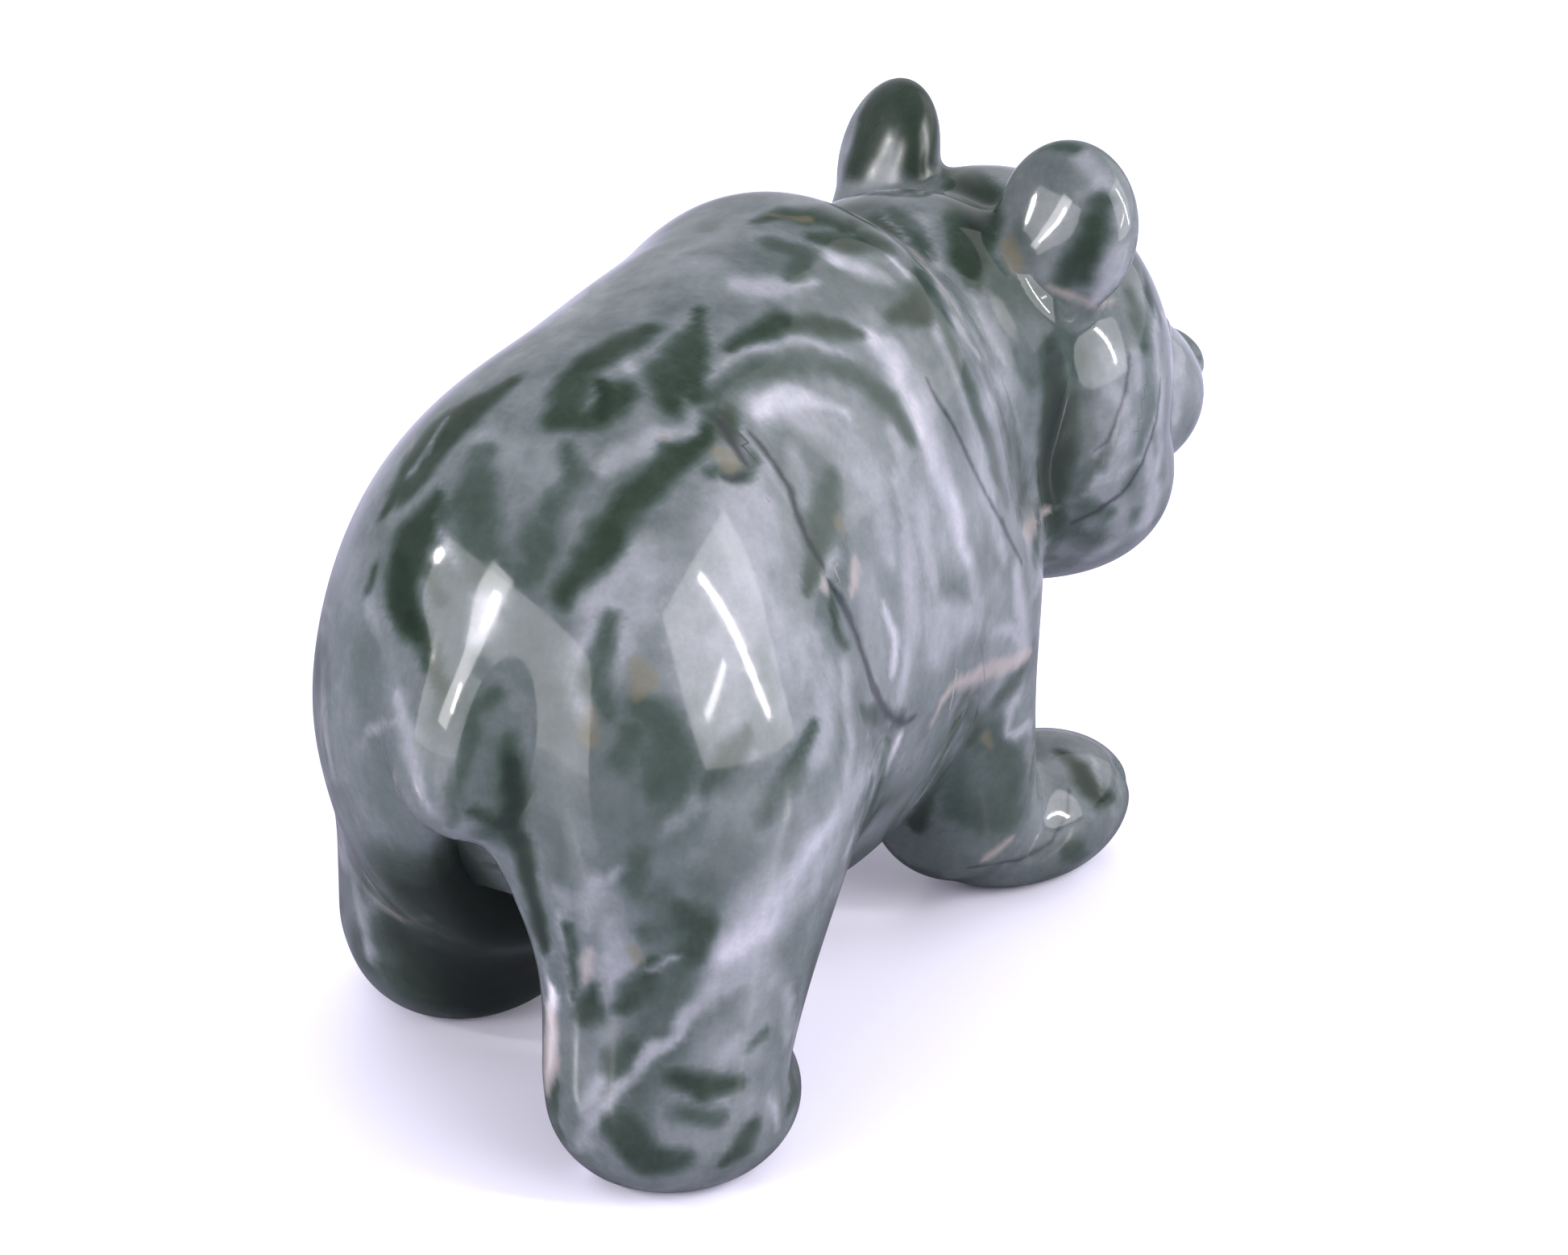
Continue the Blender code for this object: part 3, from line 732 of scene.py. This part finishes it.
def laid_route(skin, stops):
    """The route's steps on the skin, each with its half width in shares."""
    steps = []
    for (x, y, half), (next_x, next_y, next_half) in zip(stops, stops[1:]):
        count = max(1, round(math.hypot(next_x - x, next_y - y) / ROUTE_STEP))
        for share in np.arange(count) / count:
            steps.append(
                (x + (next_x - x) * share, y + (next_y - y) * share, half + (next_half - half) * share)
            )
    steps.append(stops[-1])
    laid = []
    for across, down, half in steps:
        spot = seen_spot(skin, across, down)
        if spot is not None:
            laid.append((*spot, half / PHOTO_PIXELS_A_SHARE))
    return np.array(laid)


def stretches(skin, points, routes):
    """Each straight stretch of the routes, and the points that it can reach: which they are, how
    far along it they are, their offset from it, and its half width there."""
    for stops in routes:
        laid = laid_route(skin, stops)
        if len(laid) < 2:
            continue
        reach = laid[:, 3].max() - FAR_FROM_ROUTE
        low, high = laid[:, :3].min(axis=0) - reach, laid[:, :3].max(axis=0) + reach
        near = np.flatnonzero(((points > low) & (points < high)).all(axis=1))
        for number, (start, end) in enumerate(zip(laid, laid[1:])):
            way = end[:3] - start[:3]
            length = np.linalg.norm(way)
            if not 0 < length < LONGEST_JUMP:
                continue
            along = (points[near] - start[:3]) @ way / length**2
            share = np.clip(along, 0, 1)
            offset = points[near] - start[:3] - share[:, None] * way
            half = start[3] + (end[3] - start[3]) * share
            # Past either end of its route, a vein thins out by as much as it is overshot.
            over = np.abs(along - share) * length
            over[(along < 0) & (number > 0) | (along > 1) & (number < len(laid) - 2)] = 0
            yield near, way / length, offset, half, over


def cover(skin, points, routes, softest):
    """How much of each point the patches of a layer cover, from 0 outside them to 1 inside."""
    covered = np.zeros(len(points))
    for near, _, offset, half, _ in stretches(skin, points, routes):
        edge = np.clip(half * EDGE_BY_WIDTH, LEAST_EDGE, softest)
        inside = half - np.linalg.norm(offset, axis=1)
        covered[near] = np.maximum(covered[near], inside / edge + 0.5)
    covered = np.minimum(covered, 1)
    return covered**2 * (3 - 2 * covered)


def beside_veins(skin, points, normals, routes):
    """How far each point is to one side of the nearest vein, and that vein's half width there."""
    nearest = np.full(len(points), -FAR_FROM_ROUTE)
    side, half_width = nearest.copy(), np.full(len(points), FAR_FROM_ROUTE)
    for near, way, offset, half, over in stretches(skin, points, routes):
        distance = np.linalg.norm(offset, axis=1)
        nearer = distance < nearest[near]
        chosen = near[nearer]
        nearest[chosen] = distance[nearer]
        aside = np.sign((offset * np.cross(normals[near], way)).sum(axis=1))
        beside = np.sqrt(np.maximum(distance**2 - over**2, 0))
        side[chosen] = (aside * beside)[nearer]
        half_width[chosen] = (half - over)[nearer]
    return side, half_width


def wandered(points):
    """The points, each shifted this way and that, which makes a marking's edge uneven."""
    shifts = [
        sum((noise_vector(Vector(point) / length) * amount for length, amount in WANDERS), Vector())
        for point in points
    ]
    return points + np.array(shifts)


def note(mesh, name, values):
    mesh.attributes.new(name, "FLOAT", "POINT").data.foreach_set("value", values.astype(np.float32))


carving_points = points_of(carving.data)
polygons = [tuple(polygon.vertices) for polygon in carving.data.polygons]
skin_tree = BVHTree.FromPolygons([Vector(point) for point in carving_points], polygons)
normals = np.empty(len(carving_points) * 3, np.float32)
carving.data.vertices.foreach_get("normal", normals)
normals = normals.reshape(-1, 3)
uneven_points = wandered(carving_points)
lightness = np.full(len(carving_points), GROUND)
for level, softest, routes in PATCHES:
    lightness += (level - lightness) * cover(skin_tree, uneven_points, routes, softest)
painted_shade_between_legs = np.clip(0.5 - PAINTED_SHADE_BETWEEN_LEGS.depth(uneven_points) / PAINTED_SHADE_BETWEEN_LEGS_EDGE, 0, 1)
lightness += (PAINTED_SHADE_BETWEEN_LEGS_LEVEL - lightness) * painted_shade_between_legs
note(carving.data, "lightness", lightness)
# The left ear and the deep place between the hind legs are left unpolished.
unpolished_ear = np.clip(0.5 - LEFT_EAR.depth(carving_points), 0, 1)
note(carving.data, "matt", np.maximum(unpolished_ear, painted_shade_between_legs * POCKET_MATT))
note(carving.data, "ochre", cover(skin_tree, uneven_points, OCHRE, OCHRE_EDGE))
for layer, routes in VEINS.items():
    side, half_width = beside_veins(skin_tree, carving_points, normals, routes)
    note(carving.data, layer + " side", side)
    note(carving.data, layer + " half", half_width)

# The photo's side of the stone has these markings, and the far side carries on without them.
FACING_FROM, FACING_TO = 0.0, 0.35
towards = np.array(TO_METRES.inverted() @ camera.location) - carving_points
towards /= np.linalg.norm(towards, axis=1)[:, None]
facing = (normals * towards).sum(axis=1)
note(carving.data, "seen", np.clip((facing - FACING_FROM) / (FACING_TO - FACING_FROM), 0, 1))

carving.data.transform(TO_METRES)
carving.data.shade_smooth()
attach(carving, "root")
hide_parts("panda")

# The stone: opaque green stone of the moss-agate kind, sawn, carved and polished to a high gloss.
# Its layers lie over one another, from the cloudy grey-green ground to the thinnest dark veins.

stone = bpy.data.materials.new("polished green stone")
stone.use_nodes = True
tree = stone.node_tree
shader = tree.nodes["Principled BSDF"]


def put(socket, value):
    if isinstance(value, bpy.types.NodeSocket):
        tree.links.new(value, socket)
    else:
        socket.default_value = value


def maths(operation, *values):
    node = tree.nodes.new("ShaderNodeMath")
    node.operation = operation
    for socket, value in zip(node.inputs, values):
        put(socket, value)
    return node.outputs[0]


def step(value, low, high, to_low=0, to_high=1):
    """Follows a value from one level to another, easing in and out."""
    node = tree.nodes.new("ShaderNodeMapRange")
    node.interpolation_type = "SMOOTHSTEP"
    for name, given in (
        ("Value", value), ("From Min", low), ("From Max", high), ("To Min", to_low), ("To Max", to_high)
    ):
        put(node.inputs[name], given)
    return node.outputs["Result"]


def noise(scale, detail=3, roughness=0.55, distortion=0, coords=None):
    node = tree.nodes.new("ShaderNodeTexNoise")
    put(node.inputs["Vector"], coords or place)
    for name, given in (
        ("Scale", scale), ("Detail", detail), ("Roughness", roughness), ("Distortion", distortion)
    ):
        put(node.inputs[name], given)
    return node.outputs["Fac"]


def blend(share, under, over):
    node = tree.nodes.new("ShaderNodeMix")
    node.data_type = "RGBA"
    for index, given in ((0, share), (6, under), (7, over)):
        put(node.inputs[index], given)
    return node.outputs[2]


def attribute(name):
    node = tree.nodes.new("ShaderNodeAttribute")
    node.attribute_name = name
    return node.outputs["Fac"]


place = tree.nodes.new("ShaderNodeTexCoord").outputs["Object"]
cloudy = noise(70, detail=4, distortion=0.4)
mottled = noise(260, detail=5, roughness=0.6)
frayed = noise(900, detail=5, roughness=0.6)
grainy = noise(3200, detail=2)
seen = attribute("seen")

# The stone was laid down in streaks, which lean forward as they go down the animal's side.
lean = tree.nodes.new("ShaderNodeMapping")
put(lean.inputs["Vector"], place)
lean.inputs["Rotation"].default_value = (math.radians(-30), 0, 0)
lean.inputs["Scale"].default_value = (1, 1, 0.3)
streaky = noise(330, detail=4, distortion=0.5, coords=lean.outputs[0])

# How light the stone is, painted shade and painted highlights included: as it is marked where the photo shows it, and
# in clouds elsewhere.
wild_cloud = noise(105, detail=5, distortion=1.2)
wild_light = maths("ADD", maths("MULTIPLY", maths("SUBTRACT", wild_cloud, 0.5), 2.1), 0.5)
light = maths("ADD", maths("MULTIPLY", attribute("lightness"), seen), maths("MULTIPLY", wild_light, maths("SUBTRACT", 1, seen)))
for unevenness, amount in ((cloudy, 0.25), (streaky, 0.2), (mottled, 0.22), (frayed, 0.12), (grainy, 0.06)):
    light = maths("ADD", light, maths("MULTIPLY", maths("SUBTRACT", unevenness, 0.5), amount))

STONE_COLOURS = (
    (0.00, (0.007, 0.014, 0.010, 1)), (0.18, (0.017, 0.029, 0.020, 1)), (0.36, (0.041, 0.058, 0.051, 1)),
    (0.50, (0.079, 0.096, 0.098, 1)), (0.64, (0.142, 0.158, 0.168, 1)), (0.80, (0.255, 0.262, 0.297, 1)),
    (0.90, (0.38, 0.375, 0.415, 1)), (1.00, (0.60, 0.58, 0.60, 1))
)
scale = tree.nodes.new("ShaderNodeValToRGB")
scale.color_ramp.elements[0].position, scale.color_ramp.elements[0].color = STONE_COLOURS[0]
scale.color_ramp.elements[1].position, scale.color_ramp.elements[1].color = STONE_COLOURS[-1]
for position, tint in STONE_COLOURS[1:-1]:
    scale.color_ramp.elements.new(position).color = tint
put(scale.inputs["Fac"], light)
colour = scale.outputs["Color"]

# Thin veins and stains over it: colour, how wide the edge is, how far it wanders, how much it
# covers, and the scale and levels of the noise that places it on the far sides.
STAINS = (
    ("ochre", (0.15, 0.12, 0.065, 1), 1.6, 0.25, 0.4, 190, (0.70, 0.78)),
    ("cream", (0.33, 0.285, 0.27, 1), 1.3, 0.5, 0.6, 34, (0.010, 0.002)),
    ("ink", (0.008, 0.011, 0.016, 1), 0.7, 0.4, 0.8, 42, (0.005, 0.001)),
)
for number, (stain, tint, edge, wander, cover, scale_there, levels) in enumerate(STAINS):
    wandering = maths("MULTIPLY", maths("SUBTRACT", mottled, 0.5), wander * 3)
    fraying = maths("MULTIPLY", maths("SUBTRACT", frayed, 0.5), wander * 1.5)
    if stain in VEINS:
        distance = maths("ABSOLUTE", maths("ADD", attribute(stain + " side"), wandering))
        drawn = maths("ADD", maths("SUBTRACT", attribute(stain + " half"), distance), fraying)
        painted = step(drawn, -edge / 2, edge / 2)
    else:
        painted = step(maths("ADD", attribute(stain), wandering), 0.1, 1)
    wild_coords = tree.nodes.new("ShaderNodeMapping")
    put(wild_coords.inputs["Vector"], place)
    wild_coords.inputs["Location"].default_value = (0.3 * number, 0.17 * number, 0.05 * number)
    wild_noise = noise(scale_there, detail=1.5, distortion=0.3, coords=wild_coords.outputs[0])
    if stain in VEINS:
        off_line = maths("ABSOLUTE", maths("SUBTRACT", wild_noise, 0.5))
        shown = maths("MULTIPLY", step(off_line, *levels), step(cloudy, 0.46, 0.58))
    else:
        shown = step(wild_noise, *levels)
    wild = maths("MULTIPLY", shown, maths("SUBTRACT", 1, seen))
    amount = maths("MULTIPLY", maths("MAXIMUM", painted, wild), cover)
    colour = blend(amount, colour, tint)

put(shader.inputs["Base Color"], colour)
put(shader.inputs["Roughness"], maths("ADD", step(frayed, 0.3, 0.7, 0.06, 0.11), maths("MULTIPLY", attribute("matt"), 0.2)))
shader.inputs["IOR"].default_value = 1.54
carving.data.materials.append(stone)
# The studio: a white table that runs out into white, two soft boxes, two tubes and a lamp.

ANIMAL_MIDDLE = (0, 0, 0.025)


def area_light(name, azimuth, rise, size, brightness, lean=0, nearer=0, shape="RECTANGLE"):
    """A panel that faces the animal. It is as bright as the watts it gives off for each square
    metre, and leans by some degrees anticlockwise, as the animal sees it."""
    data = bpy.data.lights.new(name, "AREA")
    data.shape = shape
    data.size, data.size_y = size
    data.energy = brightness * size[0] * size[1]
    data.color = DAYLIGHT
    light = stand(name, data, azimuth, rise, LIGHTS_AWAY - nearer, ANIMAL_MIDDLE)
    light.rotation_quaternion @= Quaternion((0, 0, 1), math.radians(lean))


LIGHTS_AWAY = 0.6
DAYLIGHT = (1, 0.98, 1)
area_light("left soft box", 153, 15, (0.56, 0.42), 9)
area_light("right window", 270, 28, (0.56, 0.56), 10)
area_light("far right window", 325, 28, (0.6, 0.5), 2.4)
area_light("left strip", 160, 24, (0.11, 0.26), 22, lean=-12, nearer=0.01)
area_light("left tube", 164, 24, (0.03, 0.11), 80, nearer=0.02)
area_light("right tube", 278, 29, (0.024, 0.42), 120, lean=14, nearer=0.02)
area_light("short tube", 261, 19, (0.024, 0.18), 45, lean=-64, nearer=0.02)
area_light("round lamp", 127, 25, (0.034, 0.034), 600, nearer=0.03, shape="DISK")

# The room is white beyond the animal, and dim on the side that the photo is taken from. The
# stone mirrors its white wall straight beyond the animal, and little of the rest.
WHITE_ROOM = (0.93, 0.92, 1, 1)
DIM_SHARE = 0.28
ROOM_STRENGTH = 2.1
MIRRORED_STRENGTH = 0.2
RIM_STRENGTH = 0.6
world = bpy.data.worlds.new("white room")
world.use_nodes = True
world_tree = world.node_tree
background = world_tree.nodes["Background"]
outward = world_tree.nodes.new("ShaderNodeTexCoord")
beyond = world_tree.nodes.new("ShaderNodeVectorMath")
beyond.operation = "DOT_PRODUCT"
beyond.inputs[1].default_value = direction(VIEW_AZIMUTH - 180, 0)
world_tree.links.new(outward.outputs["Generated"], beyond.inputs[0])
fade = world_tree.nodes.new("ShaderNodeMapRange")
fade.interpolation_type = "SMOOTHSTEP"
fade.inputs["From Min"].default_value = -0.02
fade.inputs["From Max"].default_value = 0.2
fade.inputs["To Min"].default_value = DIM_SHARE * ROOM_STRENGTH
fade.inputs["To Max"].default_value = ROOM_STRENGTH
world_tree.links.new(beyond.outputs["Value"], fade.inputs["Value"])
rim = world_tree.nodes.new("ShaderNodeMapRange")
rim.interpolation_type = "SMOOTHSTEP"
rim.inputs["From Min"].default_value = 0.7
rim.inputs["From Max"].default_value = 1
rim.inputs["To Min"].default_value = MIRRORED_STRENGTH
rim.inputs["To Max"].default_value = RIM_STRENGTH
world_tree.links.new(beyond.outputs["Value"], rim.inputs["Value"])
ray = world_tree.nodes.new("ShaderNodeLightPath")
mirrored_room = world_tree.nodes.new("ShaderNodeMix")
world_tree.links.new(rim.outputs["Result"], mirrored_room.inputs["B"])
world_tree.links.new(ray.outputs["Is Glossy Ray"], mirrored_room.inputs["Factor"])
world_tree.links.new(fade.outputs["Result"], mirrored_room.inputs["A"])
# Whoever looks at the animal from another side sees a white room too.
seen_room = world_tree.nodes.new("ShaderNodeMix")
seen_room.inputs["B"].default_value = ROOM_STRENGTH
world_tree.links.new(ray.outputs["Is Camera Ray"], seen_room.inputs["Factor"])
world_tree.links.new(mirrored_room.outputs["Result"], seen_room.inputs["A"])
world_tree.links.new(seen_room.outputs["Result"], background.inputs["Strength"])
background.inputs["Color"].default_value = WHITE_ROOM
bpy.context.scene.world = world
bpy.context.scene.view_settings.view_transform = "Standard"

floor_shape = bmesh.new()
bmesh.ops.create_circle(floor_shape, cap_ends=True, radius=6, segments=96)
floor_mesh = bpy.data.meshes.new("floor")
floor_shape.to_mesh(floor_mesh)
floor_shape.free()
floor = bpy.data.objects.new("floor", floor_mesh)
bpy.context.scene.collection.objects.link(floor)
floor_finish = bpy.data.materials.new("white acrylic")
floor_finish.use_nodes = True
sheet = floor_finish.node_tree.nodes["Principled BSDF"]
# The stone mirrors the floor weakly, except for the lit floor beyond the animal.
floor_ray = floor_finish.node_tree.nodes.new("ShaderNodeLightPath")
floor_tint = floor_finish.node_tree.nodes.new("ShaderNodeMix")
floor_tint.data_type = "RGBA"
floor_tint.inputs[6].default_value = (0.88, 0.86, 0.99, 1)
floor_place = floor_finish.node_tree.nodes.new("ShaderNodeTexCoord")
floor_beyond = floor_finish.node_tree.nodes.new("ShaderNodeVectorMath")
floor_beyond.operation = "DOT_PRODUCT"
floor_beyond.inputs[1].default_value = direction(VIEW_AZIMUTH - 180, 0)
floor_finish.node_tree.links.new(floor_place.outputs["Object"], floor_beyond.inputs[0])
mirrored_floor = floor_finish.node_tree.nodes.new("ShaderNodeMix")
mirrored_floor.data_type = "RGBA"
mirrored_floor.inputs[6].default_value = (0.16, 0.155, 0.2, 1)
mirrored_floor.inputs[7].default_value = (0.5, 0.49, 0.62, 1)
floor_fade = floor_finish.node_tree.nodes.new("ShaderNodeMapRange")
floor_fade.inputs["From Min"].default_value = 0.04
floor_fade.inputs["From Max"].default_value = 0.12
floor_finish.node_tree.links.new(floor_beyond.outputs["Value"], floor_fade.inputs["Value"])
floor_finish.node_tree.links.new(floor_fade.outputs["Result"], mirrored_floor.inputs[0])
floor_finish.node_tree.links.new(mirrored_floor.outputs[2], floor_tint.inputs[7])
floor_finish.node_tree.links.new(floor_ray.outputs["Is Glossy Ray"], floor_tint.inputs[0])
floor_finish.node_tree.links.new(floor_tint.outputs[2], sheet.inputs["Base Color"])
sheet.inputs["Roughness"].default_value = 0.22
floor_mesh.materials.append(floor_finish)
